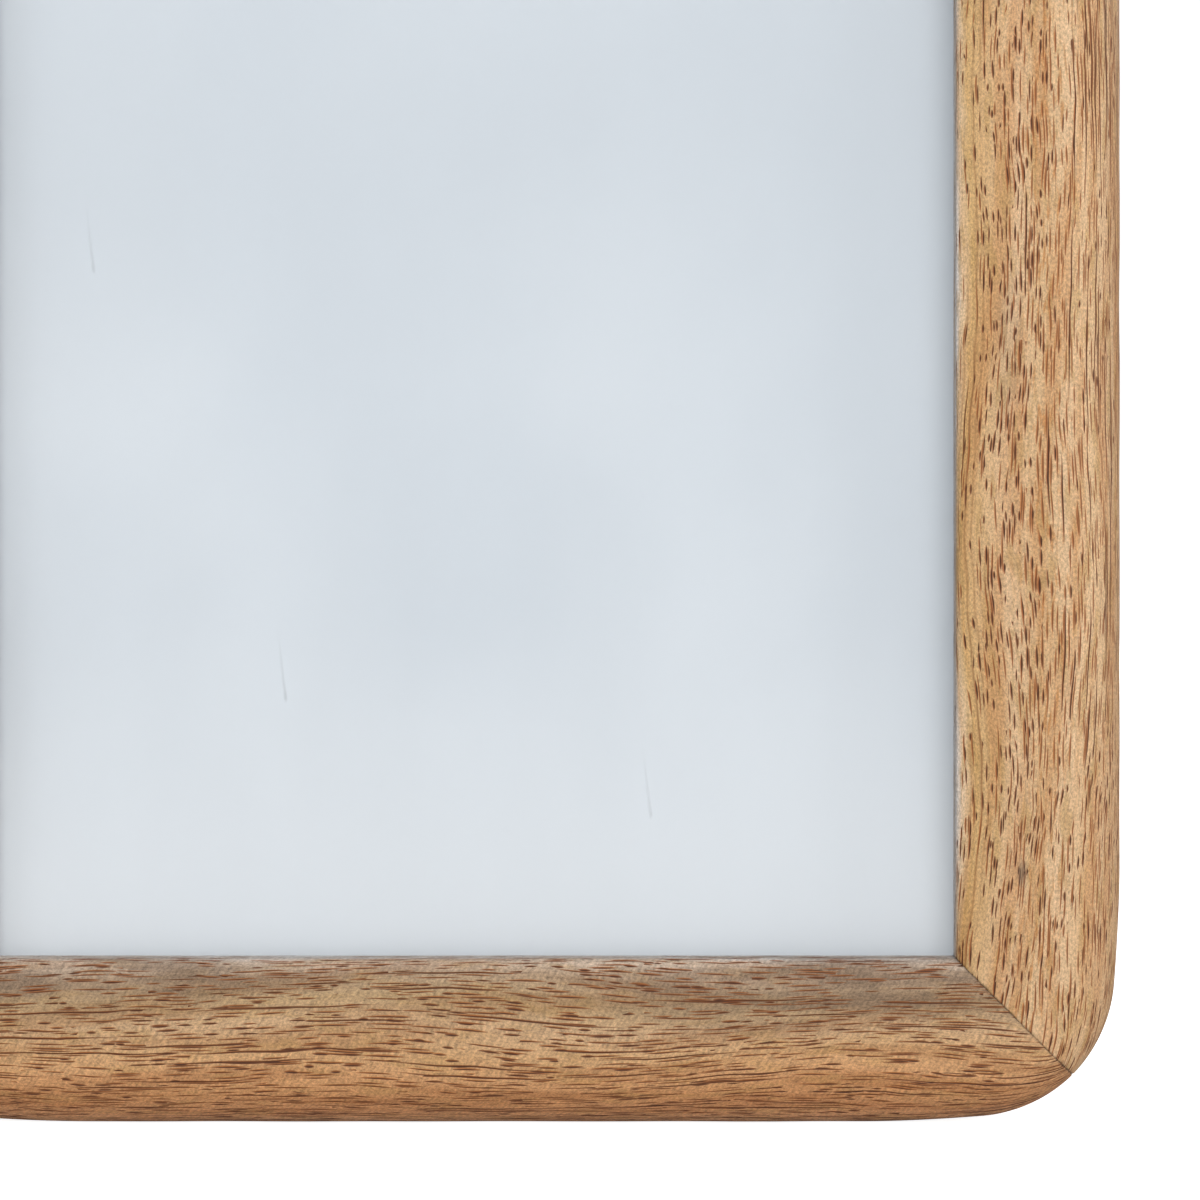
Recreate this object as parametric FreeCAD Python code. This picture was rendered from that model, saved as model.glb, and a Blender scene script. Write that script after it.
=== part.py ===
# A small picture frame in solid wood, 169 x 219 mm outside, for a 130 x 180 mm picture.
# Four mitred mouldings with rounded outer corners hold a clear pane, a blank insert sheet, a filler board
# and a back board. Four turn buttons keep the back in, and an easel leg on a small hinge stands the frame up.
#
# Millimetres, +Z up. The front looks along -Y, and X runs left to right as seen from the front.
# The origin is the middle of the flat strip on the underside that the frame stands on.
import FreeCAD, Part
import math
import os

Vec = FreeCAD.Vector
ACROSS = Vec(1, 0, 0)
BACK = Vec(0, 1, 0)
UP = Vec(0, 0, 1)

# Wooden mouldings
rail_width = 22.0
sight_width = 125.4
sight_height = 175.4
wood_depth = 18.5
lip_depth = 5.0                 # front of the wood to the shoulder that the pane rests on
rebate_width = 2.8
face_crown = 0.6                # how far the domed face falls away at its two edges
outer_front_round = 7.0
outer_back_round = 1.5
sight_edge_round = 1.0
corner_radius = 19.0            # the tight middle of each outer corner
corner_lead_radius = 197.0      # the long sanded curve that leads into it
corner_lead_turn = math.radians(5)

# What lies in the rebate
slip = 0.5                      # gap around the pane and the boards
pane_thickness = 2.0
sheet_thickness = 0.3
filler_thickness = 8.0
board_thickness = 3.0
board_corner_round = 2.0
board_edge_chamfer = 0.6

# Turn buttons and their screws
button_thickness = 0.9
button_lift = 0.1               # gap under the button, so that it turns without rubbing
button_width = 8.0
button_reach = 15.0             # pivot to the tip of the tongue
button_flat = 12.0              # pivot to where the finger lip starts
button_lip_rise = 1.2
button_setback = 6.0            # pivot to the edge of the rebate
button_from_end = 48.0          # lower pair above the base, upper pair below the top
screw_radius = 1.42
screw_hole_radius = 1.5
screw_head_radius = 2.9
screw_head_height = 1.6
screw_length = 8.5
screw_slot_width = 0.7
screw_slot_depth = 0.9
head_clearance = 0.05

# Easel leg and its hinge
hinge_height = 140.0
leaf_thickness = 0.6
leaf_length = 18.0
board_leaf_half = 14.0
leg_leaf_half = 11.0
knuckle_half = 5.0              # half the width of the leg leaf's barrel
knuckle_gap = 0.2
knuckle_lift = 0.25             # how much slimmer the leg leaf's barrel is, so that it clears the board
pin_radius = 1.0
pin_play = 0.05
pin_head_radius = 1.4
pin_head = 0.5
leg_gap = 0.5                   # folded leg to back board
leg_thickness = 2.5
leg_top_drop = 3.0              # hinge axis to the top of the leg
leg_foot_height = 4.0           # foot above the base when folded
leg_top_half = 15.0
leg_foot_half = 24.0
leg_corner_round = 4.0
leg_open_deg = 26.0
stop_slack_deg = 0.3            # the stop heel still has this much to go at leg_open_deg
stop_height = 6.0
rivet_radius = 1.2
rivet_head_radius = 2.3
rivet_head_height = 0.7
rivet_tail_radius = 2.0
rivet_tail_depth = 0.6

# Sawtooth hangers, their nails, and the bumpers
hanger_half = 20.0
hanger_half_height = 4.0
hanger_thickness = 0.7
hanger_rise = 1.6
hanger_flat = 14.0              # centre to where the strip starts to rise
hanger_raised = 11.0            # centre to where it is fully raised
hanger_inset = 9.0              # hanger's middle line to the outer edge
hanger_nail_at = 17.0
tooth_pitch = 2.0
tooth_depth = 1.2
teeth = 9
nail_radius = 0.75
nail_length = 8.0
nail_head_radius = 1.7
nail_head_height = 0.6
bumper_radius = 4.5
bumper_height = 4.0
bumper_across = 60.0
bumper_up = 9.0

# V-nails that hold the mitres together
v_nail_leg = 4.5
v_nail_thickness = 0.5
v_nail_places = (5.2, 9.2)      # apex, measured outwards from the sight corner along each axis
v_nail_width = 9.5              # how deep the strip goes into the wood
v_nail_proud = 0.1              # how far its edge stands above the back of the wood

# Worked out from the above
half_sight_width = sight_width / 2
half_sight_height = sight_height / 2
outer_width = sight_width + 2 * rail_width
outer_height = sight_height + 2 * rail_width
middle = outer_height / 2
foot_depth = wood_depth - outer_front_round - outer_back_round
front = -foot_depth / 2 - outer_front_round
rear = front + wood_depth
button_under = rear + button_lift
shoulder = front + lip_depth
pane_rear = shoulder + pane_thickness
sheet_rear = pane_rear + sheet_thickness
filler_rear = sheet_rear + filler_thickness
board_rear = filler_rear + board_thickness
leg_front = board_rear + leg_gap
leg_rear = leg_front + leg_thickness
leaf_rear = leg_rear + leaf_thickness
knuckle_radius = (leaf_rear - board_rear) / 2
hinge_depth = (leaf_rear + board_rear) / 2
hinge_bore = pin_radius + pin_play
bite = 30.0                     # how far a cutting tool runs past the wood


def prism(points, y_from, y_to):
    """A closed outline of (x, z) points, carried from one depth to the other."""
    corners = [Vec(x, y_from, z) for x, z in points]
    face = Part.Face(Part.makePolygon(corners + corners[:1]))
    return face.extrude(BACK * (y_to - y_from))


def block(x_from, x_to, y_from, y_to, z_from, z_to):
    corner = Vec(x_from, y_from, z_from)
    return Part.makeBox(x_to - x_from, y_to - y_from, z_to - z_from, corner)


def rod(radius, y_from, y_to, x=0.0, z=0.0):
    """A round bar that runs from front to back."""
    return Part.makeCylinder(radius, y_to - y_from, Vec(x, y_from, z), BACK)


def barrel(radius, x_from, x_to):
    """A round bar on the hinge axis."""
    return Part.makeCylinder(radius, x_to - x_from, Vec(x_from, hinge_depth, hinge_height), ACROSS)


def turned(shape, degrees, about=Vec(0, 0, 0), axis=BACK):
    made = shape.copy()
    made.rotate(about, axis, degrees)
    return made


def moved(shape, x=0.0, y=0.0, z=0.0):
    made = shape.copy()
    made.translate(Vec(x, y, z))
    return made


def one_solid(shape):
    """The single solid that a cut or a fuse should have left."""
    assert len(shape.Solids) == 1, len(shape.Solids)
    return shape.removeSplitter().Solids[0]


def outline(y):
    """The outer edge of the frame: four straight sides and four corners, each a lead-in arc, a tight arc and
    a lead-out arc. It is walked anticlockwise from the left end of the bottom side, heading right."""
    quarter = math.pi / 2
    lead = corner_lead_turn
    reach = (corner_lead_radius * (1 + math.sin(lead) - math.cos(lead))
             + corner_radius * (math.cos(lead) - math.sin(lead)))
    x, z, heading = -outer_width / 2 + reach, 0.0, 0.0
    edges = []
    for side in (outer_width, outer_height, outer_width, outer_height):
        run = side - 2 * reach
        there = (x + run * math.cos(heading), z + run * math.sin(heading))
        edges.append(Part.makeLine(Vec(x, y, z), Vec(there[0], y, there[1])))
        x, z = there
        for radius, turn in ((corner_lead_radius, lead), (corner_radius, quarter - 2 * lead),
                             (corner_lead_radius, lead)):
            centre_x, centre_z = x - radius * math.sin(heading), z + radius * math.cos(heading)
            points = [Vec(x, y, z)]
            for angle in (heading + turn / 2, heading + turn):
                at_x, at_z = centre_x + radius * math.sin(angle), centre_z - radius * math.cos(angle)
                points.append(Vec(at_x, y, at_z))
            edges.append(Part.Arc(*points).toShape())
            heading += turn
            x, z = points[-1].x, points[-1].z
    return Part.Wire(edges)


def moulding_section(half_across, half_along):
    """The moulding's section, carried along X below the middle of the frame: domed face, sight wall, shoulder
    and rebate."""
    sight = -half_across
    far = sight - rail_width - 1
    fall = (rail_width / 2) ** 2 / face_crown          # the dome's half width, squared, over its crown
    past = front + (rail_width / 2 + 1) ** 2 / fall    # the dome carried 1 mm past the outer edge
    start = -half_along - rail_width - 1
    inner = Vec(start, front + face_crown, sight)
    crest = Vec(start, front, sight - rail_width / 2)
    outer = Vec(start, past, far)
    edges = [Part.Arc(inner, crest, outer).toShape()]
    corners = [outer, Vec(start, rear, far), Vec(start, rear, sight - rebate_width),
               Vec(start, shoulder, sight - rebate_width), Vec(start, shoulder, sight), inner]
    edges += [Part.makeLine(a, b) for a, b in zip(corners, corners[1:])]
    return Part.Face(Part.Wire(edges)).extrude(ACROSS * (-2 * start))


def mitred_length(half_across, half_along):
    """What the two mitre cuts leave: the slice of the frame between two diagonals."""
    run = rail_width + 5
    points = [(-half_along, -half_across), (half_along, -half_across),
              (half_along + run, -half_across - run), (-half_along - run, -half_across - run)]
    return prism(points, front - bite, rear + bite)


def edges_on_outline(solid, y_from, y_to):
    """The edges that run along the outer outline between two depths."""
    found = []
    for edge in solid.Edges:
        at = edge.valueAt((edge.FirstParameter + edge.LastParameter) / 2)
        flat = Part.Vertex(at.x, 0, at.z)
        if y_from < at.y < y_to and flat.distToShape(outer_wire)[0] < 1e-4:
            found.append(edge)
    return found


def sight_edges(solid):
    """The straight edge between the domed face and the sight wall."""
    found = []
    for edge in solid.Edges:
        ends = [v.Point for v in edge.Vertexes]
        on_sight = all(abs(abs(p.x) - half_sight_width) < 1e-4
                       or abs(abs(p.z - middle) - half_sight_height) < 1e-4 for p in ends)
        if on_sight and edge.Length > 50 and all(p.y < front + face_crown + 0.01 for p in ends):
            found.append(edge)
    return found


def moulding(half_across, half_along, quarter_turns):
    """One side of the frame, with its mitres, its rounded outer edges and its softened sight edge."""
    blank = moulding_section(half_across, half_along).common(mitred_length(half_across, half_along))
    blank = moved(turned(blank, -90 * quarter_turns), z=middle)
    body = Part.Face(outline(front - 1)).extrude(BACK * (wood_depth + 2))
    solid = one_solid(blank.common(body))
    solid = solid.makeFillet(outer_front_round, edges_on_outline(solid, front - 1, front + 2))
    solid = solid.makeFillet(outer_back_round, edges_on_outline(solid, rear - 0.01, rear + 0.01))
    return one_solid(solid.makeFillet(sight_edge_round, sight_edges(solid)))


def v_nails():
    """Two V-shaped strips across each mitre, driven in from the back, with one leg in each moulding."""
    made = []
    leg, thick = v_nail_leg, v_nail_thickness
    shape = [(0, 0), (leg, 0), (leg, thick), (thick, thick), (thick, leg), (0, leg)]
    for right in (-1, 1):
        for high in (-1, 1):
            for place in v_nail_places:
                apex_x, apex_z = half_sight_width + place, half_sight_height + place
                points = [(right * (apex_x + x), middle + high * (apex_z + z)) for x, z in shape]
                made.append(prism(points, rear - v_nail_width, rear + v_nail_proud))
    return made


def sheet(y_from, y_to, corner_round=0.0):
    """A rectangle that fills the rebate, less its slip."""
    half_width = half_sight_width + rebate_width - slip
    half_height = half_sight_height + rebate_width - slip
    made = block(-half_width, half_width, y_from, y_to, middle - half_height, middle + half_height)
    if corner_round:
        made = made.makeFillet(corner_round, [e for e in made.Edges if abs(e.tangentAt(0).y) > 0.9])
    return made


def rear_rim(solid, y):
    return [e for e in solid.Edges if all(abs(v.Point.y - y) < 1e-6 for v in e.Vertexes)]


def top_rim(solid, y):
    """The circle around the back end of a round bar."""
    return [e for e in solid.Edges if abs(e.BoundBox.YMin - y) < 1e-6 and e.Length > 5]


def turn_button():
    """A pressed strip just off the wood, with its tongue along +X: a hole at the pivot, a finger lip at the
    tip."""
    half = button_width / 2
    under = button_under
    top = under + button_thickness
    side = [(-half, under), (button_flat, under), (button_reach, under + button_lip_rise),
            (button_reach, top + button_lip_rise), (button_flat, top), (-half, top)]
    corners = [Vec(x, y, -half) for x, y in side]
    strip = Part.Face(Part.makePolygon(corners + corners[:1])).extrude(UP * button_width)
    plan = rod(half, rear - 1, rear + 5)
    plan = plan.fuse(block(0, button_reach - half, rear - 1, rear + 5, -half, half))
    plan = plan.fuse(rod(half, rear - 1, rear + 5, x=button_reach - half))
    return one_solid(strip.common(plan.removeSplitter()).cut(rod(screw_hole_radius, rear - 1, rear + 5)))


def pan_screw():
    """A cross-slotted pan head and a plain shank with a point, on the Y axis."""
    seat = button_under + button_thickness + head_clearance
    top = seat + screw_head_height
    head = rod(screw_head_radius, seat, top)
    head = head.makeFillet(0.8, top_rim(head, top))
    slot = screw_slot_width / 2
    reach = screw_head_radius * 0.6
    cross = block(-reach, reach, top - screw_slot_depth, top + 1, -slot, slot)
    cross = cross.fuse(block(-slot, slot, top - screw_slot_depth, top + 1, -reach, reach))
    shank = rod(screw_radius, seat - screw_length + screw_radius, seat)
    point = Part.makeCone(0.2, screw_radius, screw_radius, Vec(0, seat - screw_length, 0), BACK)
    return one_solid(head.cut(cross).fuse(shank).fuse(point))


def button_places():
    """Each turn button's name, pivot and turn, so that its tongue points at the middle of the frame."""
    away = half_sight_width + rebate_width + button_setback
    for side, x, turn in (("left", -away, 0), ("right", away, 180)):
        for level, z in (("lower", button_from_end), ("upper", outer_height - button_from_end)):
            yield f"turn_button_{level}_{side}", x, z, turn


def sawtooth_hanger():
    """A strip bridged off the wood with teeth along its lower edge. Its middle is at the origin of X and Z."""
    low, high = rear, rear + hanger_rise
    thick = hanger_thickness
    side = [(-hanger_half, low), (-hanger_flat, low), (-hanger_raised, high), (hanger_raised, high),
            (hanger_flat, low), (hanger_half, low)]
    section = side + [(x, y + thick) for x, y in reversed(side)]
    corners = [Vec(x, y, -hanger_half_height) for x, y in section]
    strip = Part.Face(Part.makePolygon(corners + corners[:1])).extrude(UP * 2 * hanger_half_height)
    ends = [e for e in strip.Edges
            if abs(e.tangentAt(0).y) > 0.9 and abs(abs(e.valueAt(0).x) - hanger_half) < 1e-6]
    strip = strip.makeFillet(2.0, ends)
    for place in (-hanger_nail_at, hanger_nail_at):
        strip = strip.cut(rod(nail_radius, rear - 1, rear + 5, x=place))
    bottom = -hanger_half_height
    half_pitch = tooth_pitch / 2
    for number in range(teeth):
        x = (number - (teeth - 1) / 2) * tooth_pitch
        notch = [(x - half_pitch, bottom - 0.01), (x, bottom + tooth_depth), (x + half_pitch, bottom - 0.01)]
        strip = strip.cut(prism(notch, rear, rear + 5))
    return one_solid(strip)


def hanger_nail(x):
    seat = rear + hanger_thickness
    head = rod(nail_head_radius, seat, seat + nail_head_height, x=x)
    shank = rod(nail_radius, seat - nail_length + 1, seat, x=x)
    point = Part.makeCone(0.1, nail_radius, 1.0, Vec(x, seat - nail_length, 0), BACK)
    top = seat + nail_head_height
    head = head.makeFillet(0.3, top_rim(head, top))
    return one_solid(head.fuse(shank).fuse(point))


def hanger_places():
    """The portrait hanger on the top rail and the landscape one on the left stile, teeth towards the middle."""
    yield "hanger_portrait", 0, 0.0, outer_height - hanger_inset
    yield "hanger_landscape", -90, -outer_width / 2 + hanger_inset, middle


def bumper(x):
    """A rubber dome stuck to the back of the bottom rail."""
    dome = rod(bumper_radius, rear, rear + bumper_height, x=x, z=bumper_up)
    return dome.makeFillet(bumper_height * 0.6, top_rim(dome, rear + bumper_height))


def rivet(x, z, head_seat, tail_end):
    """A domed head behind head_seat, a shank, and a clenched tail let in flush at tail_end."""
    head = rod(rivet_head_radius, head_seat, head_seat + rivet_head_height, x, z)
    top = head_seat + rivet_head_height
    head = head.makeFillet(0.5, top_rim(head, top))
    shank = rod(rivet_radius, tail_end, head_seat, x, z)
    tail = rod(rivet_tail_radius, tail_end, tail_end + rivet_tail_depth, x, z)
    return one_solid(head.fuse(shank).fuse(tail))


def leaf_plate(half, y_from, z_from, z_to, round_at):
    """A flat hinge leaf with two rounded corners at its free end."""
    plate = block(-half, half, y_from, y_from + leaf_thickness, z_from, z_to)
    corners = [e for e in plate.Edges
               if abs(e.tangentAt(0).y) > 0.9 and abs(e.valueAt(0).z - round_at) < 1e-6]
    return plate.makeFillet(3.0, corners)


def hinge_leaves():
    """The board leaf with its two outer barrels, and the leg leaf with its middle barrel and its stop heel."""
    clear = knuckle_radius + 0.35
    free = knuckle_half + knuckle_gap
    top = hinge_height + leaf_length
    foot = hinge_height - leaf_length
    bore = barrel(hinge_bore, -bite, bite)

    fixed = leaf_plate(board_leaf_half, board_rear, hinge_height, top, top)
    room = block(-free, free, board_rear - 1, leaf_rear + 1, hinge_height - 1, hinge_height + clear)
    fixed = fixed.cut(room)
    for x_from, x_to in ((-board_leaf_half, -free), (free, board_leaf_half)):
        fixed = fixed.fuse(barrel(knuckle_radius, x_from, x_to))
    fixed = fixed.cut(bore)

    swung = leaf_plate(leg_leaf_half, leg_rear, foot, hinge_height, foot)
    for x_from, x_to in ((-bite, -knuckle_half), (knuckle_half, bite)):
        room = block(x_from, x_to, leg_rear - 1, leaf_rear + 1, hinge_height - clear, hinge_height + 1)
        swung = swung.cut(room)
    swung = swung.fuse(barrel(knuckle_radius - knuckle_lift, -knuckle_half, knuckle_half)).cut(bore)
    heel_front = board_rear + leaf_thickness
    heel = block(-knuckle_half + 1, knuckle_half - 1, heel_front, heel_front + leaf_thickness,
                 hinge_height + hinge_bore + 0.15, hinge_height + stop_height)
    heel = turned(heel, -(leg_open_deg + stop_slack_deg), Vec(0, hinge_depth, hinge_height), ACROSS)
    return fixed, one_solid(swung.fuse(heel))


def hinge_pin():
    end = board_leaf_half + 0.1
    pin = barrel(pin_radius, -end, end)
    for x_from in (-end - pin_head, end):
        pin = pin.fuse(barrel(pin_head_radius, x_from, x_from + pin_head))
    return one_solid(pin)


def foot_bevel():
    """How far off square the foot is cut, so that it lies flat on the table when the frame leans back on it."""
    open_angle = math.radians(leg_open_deg)
    reach = hinge_height - leg_foot_height
    foot_back = hinge_depth - rear + reach * math.sin(open_angle)
    foot_up = hinge_height - reach * math.cos(open_angle)
    lean = math.atan2(foot_up, foot_back)
    return open_angle - lean


def easel_leg():
    """A tapered board with rounded corners and a bevelled foot."""
    top = hinge_height - leg_top_drop
    foot = leg_foot_height
    points = [(-leg_foot_half, foot), (leg_foot_half, foot), (leg_top_half, top), (-leg_top_half, top)]
    leg = prism(points, leg_front, leg_rear)
    leg = leg.makeFillet(leg_corner_round, [e for e in leg.Edges if abs(e.tangentAt(0).y) > 0.9])
    rise = leg_thickness * math.tan(foot_bevel())
    wedge = [Vec(-bite, leg_front, foot), Vec(-bite, leg_rear, foot), Vec(-bite, leg_rear, foot + rise)]
    wedge = Part.Face(Part.makePolygon(wedge + wedge[:1])).extrude(ACROSS * 2 * bite)
    return one_solid(leg.cut(wedge))


def save(name, solids):
    """One STEP file for each node."""
    for solid in solids:
        assert solid.isValid() and solid.Volume > 0, name
    shape = solids[0] if len(solids) == 1 else Part.makeCompound(solids)
    shape.exportStep(f"parts/{name}.step")
    print(name, len(solids), round(sum(s.Volume for s in solids), 1))


os.makedirs("parts", exist_ok=True)
outer_wire = outline(0.0)

# Fasteners first, because each piece that they pass through is cut by them.
nails_v = v_nails()
buttons = {name: moved(turned(turn_button(), turn), x=x, z=z) for name, x, z, turn in button_places()}
screws = [moved(pan_screw(), x=x, z=z) for name, x, z, turn in button_places()]
hangers = {name: moved(turned(sawtooth_hanger(), turn), x=x, z=z) for name, turn, x, z in hanger_places()}
hanger_nails = [moved(turned(hanger_nail(at), turn), x=x, z=z)
                for name, turn, x, z in hanger_places() for at in (-hanger_nail_at, hanger_nail_at)]
board_rivets = [rivet(x, hinge_height + leaf_length * 2 / 3, board_rear + leaf_thickness, filler_rear)
                for x in (-9.0, 9.0)]
leg_rivets = [rivet(x, hinge_height - leaf_length * 0.6, leaf_rear, leg_front) for x in (-7.0, 7.0)]
in_the_wood = Part.makeCompound(nails_v + screws + hanger_nails)

# The mouldings
for name, across, along, quarter_turns in (
    ("bottom_rail", half_sight_height, half_sight_width, 0),
    ("right_stile", half_sight_width, half_sight_height, 1),
    ("top_rail", half_sight_height, half_sight_width, 2),
    ("left_stile", half_sight_width, half_sight_height, 3),
):
    save(name, [one_solid(moulding(across, along, quarter_turns).cut(in_the_wood))])
save("corner_v_nails", nails_v)

# The pane and what lies behind it
save("glazing_pane", [sheet(shoulder, pane_rear)])
save("insert_sheet", [sheet(pane_rear, sheet_rear)])
save("filler_board", [sheet(sheet_rear, filler_rear)])
board = sheet(filler_rear, board_rear, board_corner_round)
board = board.makeChamfer(board_edge_chamfer, rear_rim(board, board_rear))
save("back_board", [one_solid(board.cut(Part.makeCompound(board_rivets)))])

# Turn buttons
for name, button in buttons.items():
    save(name, [button])
save("turn_button_screws", screws)

# Easel leg and hinge
board_leaf, leg_leaf = hinge_leaves()
save("hinge_board_leaf", [one_solid(board_leaf.cut(Part.makeCompound(board_rivets)))])
save("hinge_leg_leaf", [one_solid(leg_leaf.cut(Part.makeCompound(leg_rivets)))])
save("hinge_pin", [hinge_pin()])
save("board_leaf_rivets", board_rivets)
save("easel_leg", [one_solid(easel_leg().cut(Part.makeCompound(leg_rivets)))])
save("leg_leaf_rivets", leg_rivets)

# Hangers and bumpers
for name, hanger in hangers.items():
    save(name, [hanger])
save("hanger_nails", hanger_nails)
save("wall_bumpers", [bumper(x) for x in (-bumper_across, bumper_across)])
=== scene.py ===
import math

import bpy
import numpy as np
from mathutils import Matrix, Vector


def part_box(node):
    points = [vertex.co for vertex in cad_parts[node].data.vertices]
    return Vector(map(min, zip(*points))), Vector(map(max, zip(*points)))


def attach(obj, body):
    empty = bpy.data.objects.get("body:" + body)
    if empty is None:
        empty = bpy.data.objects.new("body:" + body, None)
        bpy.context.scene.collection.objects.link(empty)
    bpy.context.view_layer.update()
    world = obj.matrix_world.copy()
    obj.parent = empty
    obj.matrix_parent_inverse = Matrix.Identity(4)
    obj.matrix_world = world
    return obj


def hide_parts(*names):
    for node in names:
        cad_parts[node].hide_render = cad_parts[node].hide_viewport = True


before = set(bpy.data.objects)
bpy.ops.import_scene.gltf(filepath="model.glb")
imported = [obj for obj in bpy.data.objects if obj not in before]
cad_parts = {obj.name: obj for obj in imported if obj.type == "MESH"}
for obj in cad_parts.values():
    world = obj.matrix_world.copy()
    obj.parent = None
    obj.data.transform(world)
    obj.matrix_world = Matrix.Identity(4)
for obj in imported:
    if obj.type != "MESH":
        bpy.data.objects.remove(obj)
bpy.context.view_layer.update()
mm = 0.001
print("frame loaded:", len(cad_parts), "nodes")

# Places and sizes read off the frame, whose bottom is at 0 and whose middle is at 0 across
bottomLow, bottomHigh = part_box("bottom_rail")
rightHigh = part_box("right_stile")[1]
halfWide, backFace = rightHigh[0], rightHigh[1]
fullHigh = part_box("top_rail")[1][2]
midHigh = fullHigh / 2
mouldingWide = bottomHigh[2] - bottomLow[2]
frontFace = bottomLow[1]
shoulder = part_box("glazing_pane")[0][1]      # where the pane's front rests


# Camera

viewer = {
    "across": 155.1 * mm,        # how much of the front face fits across the picture
    "aim": (16.55 * mm, 68.5 * mm),
    "back": 500 * mm,            # from the front face
    "rise": 0.06,                # the lens sits this share of the picture above the aim
    "sensor": 36.0,
    "clipStart": 0.01,
}


def setCamera(look):
    lens = bpy.data.cameras.new("viewer")
    lens.sensor_width = look["sensor"]
    lens.lens = look["sensor"] * look["back"] / look["across"]
    lens.shift_y = -look["rise"]
    lens.clip_start = look["clipStart"]
    camera = bpy.data.objects.new("viewer", lens)
    lift = look["rise"] * look["across"]
    camera.location = (look["aim"][0], frontFace - look["back"], look["aim"][1] + lift)
    camera.rotation_euler = (math.pi / 2, 0, 0)
    bpy.context.scene.collection.objects.link(camera)
    bpy.context.scene.camera = camera


setCamera(viewer)
print("camera set")


# Node helpers

def hexTone(code):
    # an sRGB hex colour as linear red, green and blue, and full opacity
    parts = np.array([int(code[i:i + 2], 16) for i in (0, 2, 4)]) / 255
    linear = np.where(parts <= 0.04045, parts / 12.92, ((parts + 0.055) / 1.055) ** 2.4)
    return (*linear.tolist(), 1.0)


def addNode(tree, kind, settings=None, inputs=None):
    made = tree.nodes.new(kind)
    for key, value in (settings or {}).items():
        setattr(made, key, value)
    for key, value in (inputs or {}).items():
        if isinstance(value, bpy.types.NodeSocket):
            tree.links.new(value, made.inputs[key])
        else:
            made.inputs[key].default_value = value
    return made


def maths(tree, operation, a, b=0.0, clamp=False):
    made = addNode(tree, "ShaderNodeMath", {"operation": operation, "use_clamp": clamp}, {0: a, 1: b})
    return made.outputs[0]


def ramp(tree, factor, stops):
    made = addNode(tree, "ShaderNodeValToRGB", inputs={"Fac": factor})
    elements = made.color_ramp.elements
    while len(elements) < len(stops):
        elements.new(0.5)
    for element, (place, tone) in zip(elements, stops):
        element.position = place
        element.color = hexTone(tone)
    return made.outputs["Color"]


def blendTone(tree, factor, first, second, kind="MIX"):
    made = addNode(tree, "ShaderNodeMix", {"data_type": "RGBA", "blend_type": kind, "clamp_result": False},
                   {"Factor": factor})
    for socket, value in ((made.inputs[6], first), (made.inputs[7], second)):
        if isinstance(value, bpy.types.NodeSocket):
            tree.links.new(value, socket)
        else:
            socket.default_value = hexTone(value)
    return made.outputs[2]


def span(tree, value, low, high, toLow=0.0, toHigh=1.0, smooth=False):
    made = addNode(tree, "ShaderNodeMapRange", {"interpolation_type": "SMOOTHSTEP" if smooth else "LINEAR"},
                   {"Value": value, "From Min": low, "From Max": high, "To Min": toLow, "To Max": toHigh})
    return made.outputs["Result"]


def vectorMaths(tree, operation, a, b):
    return addNode(tree, "ShaderNodeVectorMath", {"operation": operation}, {0: a, 1: b}).outputs[0]


def noise(tree, place, stretch, detail=2.0, roughness=0.5, shift=0.0, flat=False):
    # noise whose cells are 1 / stretch millimetres along each direction, in two dimensions if flat
    at = vectorMaths(tree, "MULTIPLY_ADD", place, stretch)
    at.node.inputs[2].default_value = (shift, shift * 1.7, shift * 2.3)
    return addNode(tree, "ShaderNodeTexNoise", {"noise_dimensions": "2D" if flat else "3D"}, {
        "Vector": at, "Scale": 1.0, "Detail": detail, "Roughness": roughness}).outputs["Fac"]


def objectPlace(tree):
    # object coordinates in millimetres
    at = addNode(tree, "ShaderNodeTexCoord").outputs["Object"]
    return addNode(tree, "ShaderNodeMapping", inputs={
        "Vector": at, "Scale": (1 / mm, 1 / mm, 1 / mm)}).outputs[0]


def newMaterial(name):
    made = bpy.data.materials.new(name)
    made.use_nodes = True
    tree = made.node_tree
    return made, tree, tree.nodes["Principled BSDF"]


def bumpFrom(tree, skin, height):
    # a height in metres as the skin's bump
    bump = addNode(tree, "ShaderNodeBump", inputs={"Height": height, "Distance": 1.0, "Strength": 1.0})
    tree.links.new(bump.outputs["Normal"], skin.inputs["Normal"])


# Wood

woodFinish = {
    "poreCore": "46281a", "poreRim": "9f5a2c", "strokeTone": "ae672f",
    "seamDirtAndShade": "33200f", "markTone": "665342",
    "smudgeTone": "7d6753", "blotchTone": "ad8850", "ringTone": "86592f", "brushTone": "b57e49",
    "fibreLight": (0.88, 1.12), "speckLight": 0.4, "sandTurn": 58,
    "strokeStrength": 0.85, "rimStrength": 0.8, "coreStrength": 0.92,
    "roughness": (0.46, 0.6), "poreRoughness": 0.3, "coat": 0.1, "coatRoughness": 0.45,
    "fibreRelief": 0.04 * mm, "poreRelief": 0.12 * mm,
}
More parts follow.
